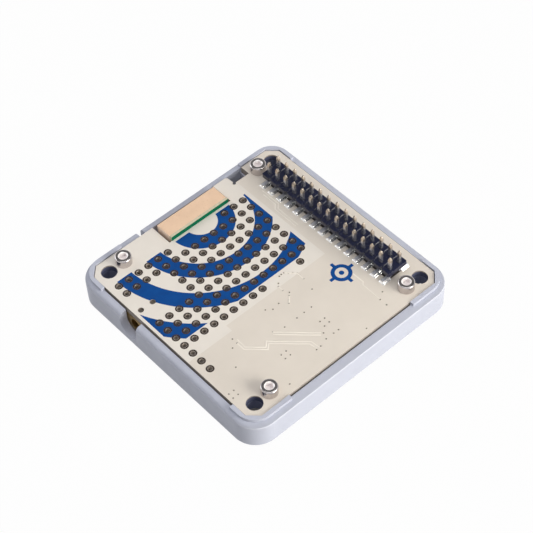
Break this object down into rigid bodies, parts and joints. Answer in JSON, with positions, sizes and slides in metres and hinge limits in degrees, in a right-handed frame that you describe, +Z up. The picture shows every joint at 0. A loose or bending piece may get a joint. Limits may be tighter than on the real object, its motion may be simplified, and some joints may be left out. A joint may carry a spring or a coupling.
{
  "type": "gps module",
  "caption": "Square stackable satellite-positioning module: perforated circuit board in a moulded frame, with pin header, socket, edge-standing ceramic antenna and aerial jack.",
  "frame": {"origin": "middle of the frame's underside", "axes": "+X along the pin header, +Y towards the board's header edge, +Z up, the way the pins point"},
  "size_m": [0.0542, 0.0542, 0.0128],
  "materials": {
    "frame_plastic": "fine moulded satin, lavender white",
    "board_laminate": "cream solder mask with blue print, satin",
    "screw_steel": "turned stainless steel",
    "header_plastic": "moulded, navy black",
    "pin_plating": "thin gold plate over nickel, bright",
    "socket_plastic": "moulded, black",
    "contact_plating": "gold plate, bright",
    "antenna_ceramic": "fired ceramic, matt peach",
    "carrier_laminate": "green solder mask, satin",
    "feed_plating": "tinned, satin",
    "jack_brass": "turned brass, dull gold",
    "jack_dielectric": "white insulator",
    "receiver_laminate": "dark green solder mask",
    "shield_tin": "tinned sheet, satin",
    "chip_epoxy": "moulded epoxy, black",
    "oscillator_lid": "plated lid, satin",
    "filter_ceramic": "pale ceramic",
    "inductor_ferrite": "pressed ferrite, matt",
    "capacitor_ceramic": "tan ceramic with tinned ends",
    "resistor_ceramic": "black glazed top with tinned ends"
  },
  "bodies": {
    "root": {"housing_frame": "frame_plastic", "circuit_board": "board_laminate", "board_screws": "screw_steel", "header_insulator": "header_plastic", "header_pins": "pin_plating", "socket_body": "socket_plastic", "socket_contacts": "contact_plating", "antenna_ceramic": "antenna_ceramic", "antenna_carrier": "carrier_laminate", "antenna_feed_pin": "feed_plating", "jack_body": "jack_brass", "jack_insulator": "jack_dielectric", "jack_contact": "contact_plating", "receiver_carrier": "receiver_laminate", "receiver_shield": "shield_tin", "receiver_chip": "chip_epoxy", "receiver_oscillator": "oscillator_lid", "receiver_filter": "filter_ceramic", "antenna_switch": "chip_epoxy", "voltage_regulator": "chip_epoxy", "bias_inductor": "inductor_ferrite", "capacitors": "capacitor_ceramic", "resistors": "resistor_ceramic"}
  },
  "joints": []
}
